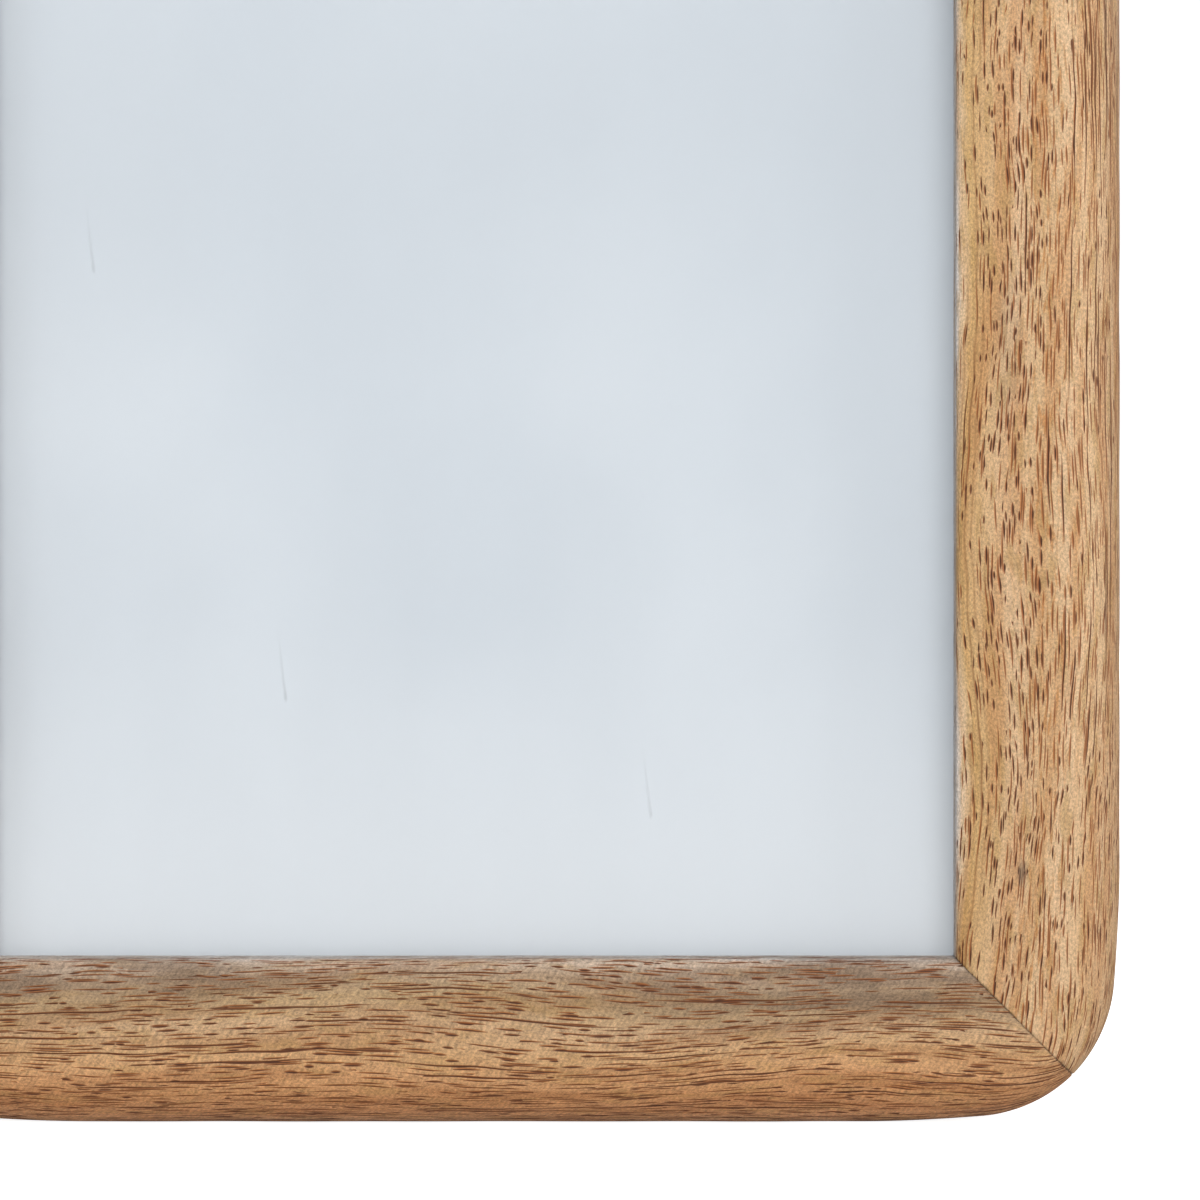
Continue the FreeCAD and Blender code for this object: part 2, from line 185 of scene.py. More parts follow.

# Every board's zones, bands and lines are shares of its width, from the sight edge, over the face and round
# onto the outer side: the wall of the sight opening is below 0 and the side is above 1. The zones below 0 are
# painted light: that wall lies in shade and is coloured near white. A smudge has its middle along the board
# in millimetres, its half length, its middle and half width across, and its strength. A mark has its place
# across and up, its half width and half height, in millimetres, and its strength.
honeyBoard = {                   # the right stile
    "seed": 3, "drift": 0.7, "driftLong": 85, "quick": 0.1, "lean": 0.1, "leanFrom": -62,
    # painted light: the zones below 0 colour the shaded wall of the sight opening near white
    "zones": ((-0.25, "f5f2ef"), (-0.07, "efe8e1"), (-0.025, "dabf9e"), (0.05, "c6a16c"), (0.13, "c7a171"),
              (0.2, "cba679"), (0.34, "d2af88"), (0.5, "cca87d"), (0.66, "d6b48d"), (0.85, "ceaa80"),
              (1.0, "c8a279")),
    "streaks": 0.5, "streakTone": "e2c096", "sand": 0.07, "blotch": 0.5,
    "brush": 0.8, "brushBand": (0.4, 0.68),
    "smudges": ((58, 9, 0.42, 0.14, 0.3), (-8, 12, 0.3, 0.1, 0.3)),
    "lines": ((0.02, 0.35), (0.085, 0.9), (0.13, 0.45)), "marks": ((71.1, 33.2, 0.9, 2.2, 0.6),),
    "dash": 1.0, "dashBand": (0.1, 0.5), "stroke": 1.0, "strokeDark": 0.62, "strokeBand": (0.3, 1.4),
    "run": 0.85, "runBand": (0.6, 1.3), "runFrom": -58,
}
brownBoard = {                   # the bottom rail
    "seed": 11, "drift": 0.8, "driftLong": 85, "quick": 0.08, "lean": 0.0, "leanFrom": 0,
    # painted light: the zones below 0 colour the shaded wall of the sight opening near white
    "zones": ((-0.25, "f4f0ec"), (-0.07, "e9dfd6"), (-0.02, "cdb9a6"), (0.10, "ab9176"), (0.25, "b4966f"),
              (0.40, "c3a07a"), (0.55, "c79e71"), (0.70, "c69567"), (0.82, "c08c5d"), (1.0, "c89163"),
              # painted light: the zones at 1.13 and 1.35 make the bottom rail's downward-facing round paler,
              # against the shade it lies in
              (1.13, "d6a275"), (1.35, "d8a679")),
    "streaks": 0.4, "streakTone": "c8ad90", "sand": 0.2, "blotch": 0.3,
    "brush": 0.4, "brushBand": (0.8, 1.3),
    "smudges": ((48, 34, 0.12, 0.34, 0.8), (-47, 26, 0.1, 0.22, 0.85)),
    "lines": (), "marks": (),
    "dash": 0.4, "dashBand": (-0.2, 1.5), "stroke": 1.1, "strokeDark": 0.95, "strokeBand": (-0.2, 1.5),
    "run": 0.4, "runBand": (0.1, 1.2), "runFrom": -200,
}
amberBoard = dict(honeyBoard, seed=23, drift=1.0, lean=0.0, marks=(), dashBand=(-0.2, 1.5),
                  runBand=(0.1, 0.8), runFrom=-200, lines=((0.32, 0.4), (0.5, 0.3)),
                  # painted light: the zones below 0 colour the shaded wall of the sight opening near white
                  zones=((-0.25, "ece6e0"), (-0.05, "d8c8b4"), (0.0, "b9946c"), (0.3, "cba378"),
                         (0.6, "d2ac84"), (1.0, "cba278")))
tawnyBoard = dict(brownBoard, seed=37, drift=1.1, sand=0.07, smudges=((-20, 40, 0.6, 0.3, 0.4),),
                  # painted light: the zones below 0 colour the shaded wall of the sight opening near white
                  zones=((-0.25, "ece6e0"), (-0.05, "d6c6b4"), (0.0, "b89876"), (0.35, "c6a17c"),
                         (0.7, "c4976c"), (1.0, "bd8d62")))

grainStart = 400                 # how far apart along the grain the boards' patterns start

# Pores by kind, in millimetres: the cell each sits in along and across, and its half length and half width,
# shortest and longest, narrowest and widest
poreKinds = {
    "dash": {"cell": (3.5, 0.68), "halfLong": (0.6, 1.9), "halfWide": (0.14, 0.27), "start": 9.0},
    "stroke": {"cell": (6.2, 0.52), "halfLong": (1.1, 3.9), "halfWide": (0.13, 0.22), "start": 5.0},
    "run": {"cell": (30.0, 1.1), "halfLong": (6.0, 15.0), "halfWide": (0.13, 0.2), "start": 3.0},
}
# painted shade: the pore's dark core is set to one side, as the shadow within the pore
coreShadeShift, coreThin = 0.22, 1.5  # how far a pore's dark core sits to one side, and how much thinner it is

# Patterns over the grain: cells to the millimetre along and across, then detail, roughness and start
woodPatterns = {
    "fibre": ((0.16, 3.6, 0), 4.0, 0.7, 0.0),
    "streak": ((0.03, 0.8, 0), 2.0, 0.6, 31.0),
    "speck": ((2.2, 3.6, 0), 3.0, 0.75, 57.0),
    "sand": ((0.5, 2.2, 0), 2.0, 0.6, 83.0),
    "blotch": ((0.12, 0.55, 0), 3.0, 0.6, 43.0),
    "patch": ((0.05, 0.3, 0), 3.0, 0.6, 71.0),
    "strand": ((0.2, 1.9, 0), 2.0, 0.55, 19.0),
}


# Pointed slits, one to a cell of a stretched Voronoi pattern and cut where the cell ends. With a and c the
# distances from the cell's point over half the slit's length and width, the slit is 1 - a^2 - |c|, and the
# dark core is a narrower one set to one side. The core is the pore's own dark and painted shade: set to one
# side, it stands for the shadow down one side of the pore. The cell's random colour says how big the slit is
# and whether it has one.
def poreSlits(tree, place, kind, share):
    long, wide = kind["cell"]
    at = vectorMaths(tree, "MULTIPLY_ADD", place, (1 / long, 1 / wide, 0))
    at.node.inputs[2].default_value = (kind["start"], kind["start"] * 1.7, 0)
    cells = addNode(tree, "ShaderNodeTexVoronoi", {"voronoi_dimensions": "2D"},
                    {"Vector": at, "Scale": 1.0, "Randomness": 1.0})
    chance = addNode(tree, "ShaderNodeSeparateColor", inputs={"Color": cells.outputs["Color"]})
    away = addNode(tree, "ShaderNodeSeparateXYZ", inputs={
        0: vectorMaths(tree, "SUBTRACT", at, cells.outputs["Position"])})
    halfLong = span(tree, chance.outputs[0], 0.0, 1.0, *(reach / long for reach in kind["halfLong"]))
    halfWide = span(tree, chance.outputs[2], 0.0, 1.0, *(reach / wide for reach in kind["halfWide"]))
    a = maths(tree, "DIVIDE", away.outputs[0], halfLong)
    c = maths(tree, "DIVIDE", away.outputs[1], halfWide)
    taper = maths(tree, "SUBTRACT", 1.0, maths(tree, "MULTIPLY", a, a))
    has = maths(tree, "LESS_THAN", chance.outputs[1], share)
    slit = maths(tree, "SUBTRACT", taper, maths(tree, "ABSOLUTE", c), clamp=True)
    # the core off centre, as painted shade down one side of the pore
    offCentre = maths(tree, "ABSOLUTE", maths(tree, "SUBTRACT", c, coreShadeShift))
    core = maths(tree, "SUBTRACT", maths(tree, "MULTIPLY", taper, 0.9),
                 maths(tree, "MULTIPLY", offCentre, coreThin), clamp=True)
    return maths(tree, "MULTIPLY", slit, has), maths(tree, "MULTIPLY", core, has)


def inBand(tree, across, band, soft, least):
    # 1 inside a band of the board's width, falling to the least value beside it
    rise = span(tree, across, band[0] - soft, band[0] + soft, least, 1.0)
    return maths(tree, "MULTIPLY", rise, span(tree, across, band[1] + soft, band[1] - soft, least, 1.0))


def squared(tree, value, middle, half):
    # how far a value is from the middle, over the half width, squared
    away = maths(tree, "DIVIDE", maths(tree, "SUBTRACT", value, middle), half)
    return maths(tree, "MULTIPLY", away, away)


def boardMaterial(name, board):
    made, tree, skin = newMaterial(name)
    finish = woodFinish
    grain = addNode(tree, "ShaderNodeAttribute", {"attribute_name": "grain"}).outputs["Vector"]
    figure, crowd, seam = (addNode(tree, "ShaderNodeAttribute", {"attribute_name": label}).outputs["Fac"]
                           for label in ("figure", "crowd", "seam"))
    parts = addNode(tree, "ShaderNodeSeparateXYZ", inputs={0: grain})
    along = maths(tree, "SUBTRACT", parts.outputs[0], grainStart * board["seed"])
    across = maths(tree, "DIVIDE", parts.outputs[1], mouldingWide / mm)

    def pattern(kind, place=grain):
        return noise(tree, place, *woodPatterns[kind], flat=True)

    # Tone: zones across the board, soft streaks and blotches, stains, strands, then fibres and sandy specks
    fibre, streak, strands = pattern("fibre"), pattern("streak"), pattern("strand")
    slant = addNode(tree, "ShaderNodeMapping", inputs={
        "Vector": grain, "Rotation": (0, 0, math.radians(finish["sandTurn"]))}).outputs[0]
    first, last = board["zones"][0][0], board["zones"][-1][0]
    stops = [((place - first) / (last - first), shade) for place, shade in board["zones"]]
    tone = ramp(tree, span(tree, across, first, last), stops)
    soft = span(tree, maths(tree, "ADD", figure, streak), 0.8, 1.35, 0.0, board["streaks"], smooth=True)
    tone = blendTone(tree, soft, tone, board["streakTone"], "MULTIPLY")
    blotched = span(tree, pattern("blotch"), 0.5, 0.68, 0.0, board["blotch"], smooth=True)
    tone = blendTone(tree, blotched, tone, finish["blotchTone"])
    patches = span(tree, pattern("patch"), 0.36, 0.6, 0.3, 1.0, smooth=True)
    for middle, halfLong, centre, halfWide, strength in board["smudges"]:      # greyer, stained areas
        reach = maths(tree, "SQRT", maths(tree, "ADD", squared(tree, along, middle, halfLong),
                                          squared(tree, across, centre, halfWide)))
        smudge = maths(tree, "MULTIPLY", span(tree, reach, 1.25, 0.3, 0.0, strength, smooth=True), patches)
        tone = blendTone(tree, smudge, tone, finish["smudgeTone"])
    brush = maths(tree, "MULTIPLY", inBand(tree, across, board["brushBand"], 0.1, 0.0),
                  span(tree, strands, 0.54, 0.68, 0.0, board["brush"], smooth=True))
    tone = blendTone(tree, brush, tone, finish["brushTone"])
    light = maths(tree, "ADD", span(tree, fibre, 0.25, 0.75, *finish["fibreLight"]),
                  span(tree, pattern("speck"), 0.25, 0.75, -finish["speckLight"], finish["speckLight"]))
    sandy = span(tree, pattern("sand", slant), 0.25, 0.75, -board["sand"], board["sand"])
    light = maths(tree, "ADD", light, sandy)
    grey = addNode(tree, "ShaderNodeCombineColor", inputs={0: light, 1: light, 2: light}).outputs[0]
    tone = blendTone(tree, 1.0, tone, grey, "MULTIPLY")

    for place, strength in board["lines"]:      # thin dark rings that run the length of the board
        nearLine = maths(tree, "ABSOLUTE", maths(tree, "SUBTRACT", across, place))
        ring = maths(tree, "MULTIPLY", span(tree, nearLine, 0.012, 0.0),
                     span(tree, streak, 0.35, 0.6, 0.2 * strength, strength))
        tone = blendTone(tree, ring, tone, finish["ringTone"])

    # Pores: reddish strokes, short dark dashes where the crowd is thick, and long runs in a band of their own
    dense = span(tree, maths(tree, "ADD", figure, crowd), 0.75, 1.4, 0.5, 1.0)
    share = maths(tree, "MULTIPLY", inBand(tree, across, board["strokeBand"], 0.1, 0.35), board["stroke"])
    strokes = poreSlits(tree, grain, poreKinds["stroke"], maths(tree, "MULTIPLY", share, dense))
    clear = span(tree, along, board["runFrom"] - 8, board["runFrom"] + 8)
    banded = maths(tree, "MAXIMUM", inBand(tree, across, board["dashBand"], 0.08, 0.2),
                   span(tree, clear, 0.0, 1.0, 0.6, 0.0))
    share = maths(tree, "MULTIPLY", banded, board["dash"])
    dashes = poreSlits(tree, grain, poreKinds["dash"], maths(tree, "MULTIPLY", share, crowd))
    share = maths(tree, "MULTIPLY", inBand(tree, across, board["runBand"], 0.08, 0.1), board["run"])
    runs = poreSlits(tree, grain, poreKinds["run"], maths(tree, "MULTIPLY", share, clear))
    slit = maths(tree, "MAXIMUM", dashes[0], runs[0])
    core = maths(tree, "MAXIMUM", dashes[1], runs[1])
    for mask, full, strength, shade in (
        (strokes[0], 0.6, finish["strokeStrength"], finish["strokeTone"]),
        (strokes[1], 0.7, board["strokeDark"], finish["poreCore"]),
        (slit, 0.5, finish["rimStrength"], finish["poreRim"]),
        (core, 0.5, finish["coreStrength"], finish["poreCore"]),
    ):
        tone = blendTone(tree, span(tree, mask, 0.0, full, 0.0, strength, True), tone, shade)

    for markX, markZ, wideX, wideZ, strength in board["marks"]:      # a small grey fleck, like a pin knot
        at = addNode(tree, "ShaderNodeTexCoord").outputs["Object"]
        offset = vectorMaths(tree, "MULTIPLY_ADD", at, (1 / wideX / mm, 0, 1 / wideZ / mm))
        offset.node.inputs[2].default_value = (-markX / wideX, 0, -markZ / wideZ)
        reach = addNode(tree, "ShaderNodeVectorMath", {"operation": "LENGTH"}, {0: offset}).outputs["Value"]
        tone = blendTone(tree, span(tree, reach, 1.1, 0.2, 0.0, strength, True), tone, finish["markTone"])

    # dirt and painted shade along the mitre joint, darkening the wood there
    jointDirtAndShade = maths(tree, "MULTIPLY", seam, span(tree, strands, 0.35, 0.62, 0.3, 0.85))
    tone = blendTone(tree, jointDirtAndShade, tone, finish["seamDirtAndShade"])
    tree.links.new(tone, skin.inputs["Base Color"])
    deep = maths(tree, "MAXIMUM", slit, maths(tree, "MULTIPLY", strokes[0], 0.5))
    rough = maths(tree, "ADD", span(tree, fibre, 0.3, 0.7, *finish["roughness"]),
                  maths(tree, "MULTIPLY", deep, finish["poreRoughness"]))
    tree.links.new(rough, skin.inputs["Roughness"])
    skin.inputs["Coat Weight"].default_value = finish["coat"]
    skin.inputs["Coat Roughness"].default_value = finish["coatRoughness"]
    bumpFrom(tree, skin, maths(tree, "SUBTRACT", maths(tree, "MULTIPLY", fibre, finish["fibreRelief"]),
                               maths(tree, "MULTIPLY", deep, finish["poreRelief"])))
    return made


# Mouldings

moulding = {
    "cornerRadius": 19 * mm, "leadRadius": 197 * mm, "leadTurn": math.radians(5),
    "crown": 0.6 * mm, "frontRound": 7 * mm, "backRound": 1.5 * mm, "sightRound": 1 * mm,
    "rebate": 2.8 * mm,
    "step": 0.7 * mm,            # between stations along the board
    "endReach": 1.2 * mm,        # the last stretch before the mitre, where stations stand closer:
    "endPlaces": (0, 0.05, 0.1, 0.15, 0.2, 0.26, 0.34, 0.45, 0.6, 0.85),     # millimetres before it
    "leastSquare": 0.7,          # how slanting a ray may be taken to meet the rim
    "ease": 0.09 * mm,           # how far the two boards are sanded down beside their joint
    "easeReach": 0.13 * mm,
    "easeWaves": ((0.45, 1.7, 1), (0.3, 4.3, 2)),    # share, waves along the joint and phase
    "waver": 0.05 * mm,          # how far hand sanding leaves the face from true
    "waverFromMitre": 9 * mm, "waverFromSight": 2 * mm,
    "jointGap": 0.02 * mm,
    "seamReach": 0.12 * mm,      # how far the dirt and painted shade reach from the joint
    "sharpFrom": 35,             # degrees between faces
}
# How many points each stretch of the section has
sectionPoints = {"wall": 9, "sightRound": 8, "face": 28, "frontRound": 15, "side": 9, "backRound": 6,
                 "back": 12, "rebateWall": 5, "ledge": 4}
# Random fields over a board: the longest wave along and across in millimetres, and how many waves
grainWaves = {
    "drift": (38, 9),            # its length along is each board's own
    "quick": (13, 7, 12), "figure": (75, 6, 12), "crowd": (22, 5.5, 12), "waver": (24, 20, 8),
    "figureMean": 0.5, "figureSwing": 0.28, "crowdMean": 0.62, "crowdSwing": 0.4, "crowdLeast": 0.08,
    "leanSoft": 15,              # millimetres over which the grain starts to lean
}


# A smooth random field, about -1 to 1: a sum of slanted sine waves, each of its own length, slope and start,
# over the square root of how many there are.
def waves(along, across, longest, widest, count, seed):
    draw = np.random.default_rng(seed)
    total = np.zeros_like(along)
    for _ in range(count):
        lengthways = 2 * math.pi * draw.uniform(0.5, 1.6) / longest
        crossways = 2 * math.pi * draw.uniform(0.5, 1.6) / widest * draw.choice((-1, 1))
        total += np.sin(along * lengthways + across * crossways + draw.uniform(0, 2 * math.pi))
    return total / math.sqrt(count)


# A point on the outer outline, run metres from the middle of a side: straight, then a lead-in arc, then the
# tight arc as far as the mitre. It gives the places along and outward, the heading, and half the straight.
def outerLine(run, halfLong, halfOut, shape):
    lead, turn = shape["leadRadius"], shape["leadTurn"]
    tight = shape["cornerRadius"]
    reach = lead * (1 + math.sin(turn) - math.cos(turn)) + tight * (math.cos(turn) - math.sin(turn))
    straight = halfLong - reach
    far = np.abs(run)
    onLead = np.clip((far - straight) / lead, 0, turn)
    onTight = np.clip((far - straight - lead * turn) / tight, 0, None)
    heading = onLead + onTight
    along = (np.minimum(far, straight) + lead * np.sin(onLead)
             + tight * (np.sin(heading) - np.sin(onLead)))
    outward = halfOut - lead * (1 - np.cos(onLead)) - tight * (np.cos(onLead) - np.cos(heading))
    return np.sign(run) * along, outward, heading, straight


# Distance from a point to the outer outline: to the straight, the lead-in arc or the tight arc, by which of
# their sectors the point lies in.
def rimGap(along, outward, halfLong, halfOut, shape, straight):
    lead, turn, tight = shape["leadRadius"], shape["leadTurn"], shape["cornerRadius"]
    far = np.abs(along)
    leadAcross, leadUp = far - straight, outward - (halfOut - lead)
    tightAcross = leadAcross - (lead - tight) * math.sin(turn)
    tightUp = leadUp - (lead - tight) * math.cos(turn)
    inTight = np.arctan2(tightAcross, tightUp) > turn
    curved = np.where(inTight, tight - np.hypot(tightAcross, tightUp), lead - np.hypot(leadAcross, leadUp))
    return np.where(far > straight, curved, halfOut - outward)


def steps(count, skip=1):
    # 0 to 1 in a row, without its first points
    return np.linspace(0, 1, count)[None, skip:]


# One side of the frame as a closed profile carried along the board. Each station joins a point on the sight
# edge to a point on the outer outline, square to the board in the middle and fanning out to the mitre. The
# front's depth is crown * ((v - w/2) / (w/2))^2 plus a quarter round at the sight edge and one at the rim,
# where v is the distance from the sight edge and w the width.
def mouldingMesh(name, halfLong, halfOut, toWorld, shape, board, phase):
    wide = mouldingWide
    sightOut, sightLong = halfOut - wide, halfLong - wide
    turn = shape["leadTurn"]
    straight = outerLine(np.zeros(1), halfLong, halfOut, shape)[3]
    end = straight + shape["leadRadius"] * turn + shape["cornerRadius"] * (math.pi / 4 - turn)
    close = end - np.array(shape["endPlaces"]) * mm
    count = int((end - shape["endReach"]) / shape["step"])
    half = np.concatenate([np.linspace(0, end - shape["endReach"], count), close[::-1]])
    run = np.concatenate([-half[:0:-1], half])
    rimLong, rimOut, heading, straight = outerLine(run, halfLong, halfOut, shape)
    share = np.clip((np.abs(run) - straight) / (end - straight), 0, None)
    sightAt = np.sign(run) * (np.minimum(np.abs(run), straight) + share * (sightLong - straight))

    # The rays from the sight edge to the rim, and how square they meet the rim
    rayLong, rayOut = rimLong - sightAt, rimOut - sightOut
    rayLength = np.hypot(rayLong, rayOut)
    square = (np.abs(rayLong) * np.sin(heading) + rayOut * np.cos(heading)) / rayLength
    square = np.where(np.abs(run) > straight, np.maximum(square, shape["leastSquare"]), 1.0)
    ones = np.ones((len(run), 1))

    def fromSight(distance):
        return distance / rayOut[:, None]

    def fromRim(distance):
        return 1 - distance / (rayLength * square)[:, None]

    def placed(ratio):
        return sightAt[:, None] + ratio * rayLong[:, None], sightOut + ratio * rayOut[:, None]

    # The face, from the sight edge to the rim
    small = np.linspace(0, math.pi / 2, sectionPoints["sightRound"])[None, :]
    quarter = np.linspace(0, math.pi / 2, sectionPoints["frontRound"])[None, :]
    inner = fromSight(shape["sightRound"] * (1 - np.cos(small)))
    outer = fromRim(shape["frontRound"] * (1 - np.sin(quarter)))
    between = np.linspace(0, 1, sectionPoints["face"])[None, 1:-1]
    face = np.concatenate([inner, inner[:, -1:] * (1 - between) + outer[:, :1] * between, outer], axis=1)
    along, outward = placed(face)
    v = outward - sightOut
    e = np.clip(rimGap(along, outward, halfLong, halfOut, shape, straight), 0, None)
    near = np.clip(shape["sightRound"] - v, 0, None)
    far = np.clip(shape["frontRound"] - e, 0, shape["frontRound"])
    faceDepth = (frontFace + shape["crown"] * ((v - wide / 2) / (wide / 2)) ** 2
                 + shape["sightRound"] - np.sqrt(np.maximum(shape["sightRound"] ** 2 - near ** 2, 0))
                 + shape["frontRound"] - np.sqrt(np.maximum(shape["frontRound"] ** 2 - far ** 2, 0)))
    faceTilt = np.arcsin(far / shape["frontRound"])

    # Sight wall before it; side, back round, back, rebate wall and ledge after it, as ratios along the rays
    wallShare = np.linspace(0, 1, sectionPoints["wall"])[None, :-1]
    wallDepth = shoulder + (faceDepth[:, :1] - shoulder) * wallShare
    sideTop = faceDepth[:, -1:]
    sideDepth = sideTop + (backFace - shape["backRound"] - sideTop) * steps(sectionPoints["side"])
    backTurn = np.linspace(0, math.pi / 2, sectionPoints["backRound"])[None, 1:]
    backRatio = fromRim(shape["backRound"] * (1 - np.cos(backTurn)))
    backDepth = backFace - shape["backRound"] * (1 - np.sin(backTurn)) * ones
    rebateRatio = fromSight(np.full((1, 1), shape["rebate"]))
    flat = steps(sectionPoints["back"])
    flatRatio = backRatio[:, -1:] * (1 - flat) + rebateRatio * flat
    rebateDepth = backFace + (shoulder - backFace) * steps(sectionPoints["rebateWall"]) * ones
    ledgeRatio = rebateRatio * np.linspace(1, 0, sectionPoints["ledge"])[None, 1:-1]
    stretches = (                # ratio, depth, tilt, and whether the stretch shows from the front
        (np.zeros_like(wallDepth), wallDepth, 0.0, 1.0),
        (face, faceDepth, faceTilt, 1.0),
        (ones * np.ones_like(sideDepth), sideDepth, math.pi / 2, 1.0),
        (backRatio, backDepth, 0.0, 0.0),
        (flatRatio, np.full_like(flatRatio, backFace), 0.0, 0.0),
        (rebateRatio * np.ones_like(rebateDepth), rebateDepth, 0.0, 0.0),
        (ledgeRatio, np.full_like(ledgeRatio, shoulder), 0.0, 0.0),
    )
    ratio, depth, tilt, shown = (
        np.concatenate([np.ones_like(part[0]) * part[i] for part in stretches], axis=1) for i in range(4))
    along, outward = placed(ratio)
    v = outward - sightOut
    inWall = np.arange(ratio.shape[1])[None, :] < wallDepth.shape[1] + face.shape[1]
    side = np.where(inWall & (v < wide / 2), -1.0, 1.0)

    # Grain: where each point lies along and across the unrolled board, with a slow drift and a quick one
    seed, fields = board["seed"], grainWaves
    onBoard, overBoard = along / mm, (v + side * (depth - frontFace)) / mm
    drift = board["drift"] * waves(onBoard, overBoard, board["driftLong"], *fields["drift"], seed)
    beyond = np.clip(board["leanFrom"] - onBoard, 0, None)
    drift = drift + board["lean"] * beyond ** 2 / (beyond + fields["leanSoft"])
    quick = board["quick"] * waves(onBoard, overBoard, *fields["quick"], seed + 1)
    nought = np.zeros_like(onBoard)
    grain = np.stack([onBoard + grainStart * seed, overBoard + drift + quick, nought], axis=-1)
    figure = waves(onBoard, overBoard + drift, *fields["figure"], seed + 2)
    figure = fields["figureMean"] + fields["figureSwing"] * figure
    crowd = waves(onBoard, overBoard + drift, *fields["crowd"], seed + 3)
    crowd = np.clip(fields["crowdMean"] + fields["crowdSwing"] * crowd, fields["crowdLeast"], 1)

    # Beside the mitre the face is eased back, more in some places than others. Elsewhere it wavers a little.
    toMitre = (v - (np.abs(along) - sightLong)) / math.sqrt(2)
    uneven = 1
    for part, often, start in shape["easeWaves"]:
        uneven = uneven + part * np.sin(often * v / mm + start * phase)
    ease = shape["ease"] * uneven * np.exp(-(toMitre / shape["easeReach"]) ** 2)
    calm = 1 - np.exp(-np.clip(toMitre, 0, None) / shape["waverFromMitre"])
    calm = calm * np.clip(v / shape["waverFromSight"], 0, 1)
    waver = shape["waver"] * calm * (0.5 + 0.5 * waves(onBoard, overBoard, *fields["waver"], seed + 4))
    sunk = (ease + np.clip(waver, 0, None)) * shown
    sense = np.sign(run)[:, None]
    depth = depth + sunk * np.cos(tilt)
    outward = outward - sunk * np.sin(tilt) * np.cos(heading)[:, None]
    along = along - sense * sunk * np.sin(tilt) * np.sin(heading)[:, None]
    along = along - sense * shape["jointGap"] * (np.abs(run)[:, None] / end) ** 8

    rows, columns = along.shape
    worldX, worldZ = toWorld(along, outward)
    points = np.stack([worldX, depth, worldZ], axis=-1).reshape(-1, 3)
    index = np.arange(rows * columns).reshape(rows, columns)
    following = np.roll(index, -1, axis=1)
    quads = np.stack([index[:-1], following[:-1], following[1:], index[1:]], axis=-1).reshape(-1, 4)
    corners = points[quads]
    swept = np.einsum("ij,ij->", corners[:, 0], np.cross(corners[:, 1], corners[:, 2]))
    faces = quads.tolist() + [index[0][::-1].tolist(), index[-1].tolist()]
    if swept < 0:                # the profile runs the other way round on two of the sides
        faces = [corner[::-1] for corner in faces]

    mesh = bpy.data.meshes.new(name)
    mesh.from_pydata(points.tolist(), [], faces)
    seam = np.exp(-np.clip(toMitre, 0, None) / shape["seamReach"]) * shown
    for label, values in (("figure", figure), ("crowd", crowd), ("seam", seam)):
        layer = mesh.attributes.new(label, "FLOAT", "POINT")
        layer.data.foreach_set("value", np.ascontiguousarray(values, dtype=np.float32).ravel())
    layer = mesh.attributes.new("grain", "FLOAT_VECTOR", "POINT")
    layer.data.foreach_set("vector", np.ascontiguousarray(grain, dtype=np.float32).ravel())
    mesh.shade_smooth()
    mesh.set_sharp_from_angle(angle=math.radians(shape["sharpFrom"]))
    mesh.update()
    made = bpy.data.objects.new(name, mesh)
    bpy.context.scene.collection.objects.link(made)
    return made


halfHigh = fullHigh / 2
# Piece, the node it stands for, half its length, how far out its rim lies, where a point along and outward
# goes, its board, and the start of the waves in its sanded joint
sides = (
    ("bottomBoard", "bottom_rail", halfWide, halfHigh, lambda a, b: (a, midHigh - b), brownBoard, 0.4),
    ("rightBoard", "right_stile", halfHigh, halfWide, lambda a, b: (b, midHigh + a), honeyBoard, 1.9),
    ("topBoard", "top_rail", halfWide, halfHigh, lambda a, b: (a, midHigh + b), tawnyBoard, 3.1),
    ("leftBoard", "left_stile", halfHigh, halfWide, lambda a, b: (-b, midHigh + a), amberBoard, 4.6),
)
for name, node, halfLong, halfOut, toWorld, board, phase in sides:
    piece = mouldingMesh(name, halfLong, halfOut, toWorld, moulding, board, phase)
    piece.data.materials.append(boardMaterial(name + "Wood", board))
    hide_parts(node)
    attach(piece, "frame")
print("four mouldings made")


# Pane

pane = {
    "tint": "fafcfd", "dustTone": "6d747c", "ior": 1.5, "roughness": (0.02, 0.06),
    "haze": 0.012,               # the most that wiped patches veil it
    "speckPitch": 3.4, "speckReach": 0.045, "speckShare": 0.35, "speckStrength": 0.35,
}
# The faint rubs on it: where each one ends, across and up, in millimetres
rubs = {"ends": ((-49.6, 111.1), (-24.5, 55.1), (23.2, 39.9)), "long": 11.9, "wide": 0.3, "lean": 6.5,
        "strength": 0.08}


# Thin slanted strokes that fade in from the top and end in a small drop. For each, the place is turned by its
# lean, and the mask is a narrow band across times a rise along, squared.
def rubMask(tree):
    at = addNode(tree, "ShaderNodeTexCoord").outputs["Object"]
    total = None
    for endX, endZ in rubs["ends"]:
        moved = vectorMaths(tree, "SUBTRACT", at, (endX * mm, 0, endZ * mm))
        turned = addNode(tree, "ShaderNodeMapping", inputs={
            "Vector": moved, "Rotation": (0, math.radians(rubs["lean"]), 0),
            "Scale": (1 / mm, 1 / mm, 1 / mm)}).outputs[0]
        parts = addNode(tree, "ShaderNodeSeparateXYZ", inputs={0: turned})
        sideways = maths(tree, "ABSOLUTE", parts.outputs[0])
        along = parts.outputs[2]
        band = span(tree, sideways, rubs["wide"], 0.0, smooth=True)
        rise = maths(tree, "MULTIPLY", span(tree, along, rubs["long"], 0.6), span(tree, along, -0.5, 0.4))
        rise = maths(tree, "MULTIPLY", rise, rise)
        stroke = maths(tree, "MULTIPLY", band, rise)
        total = stroke if total is None else maths(tree, "MAXIMUM", total, stroke)
    return total


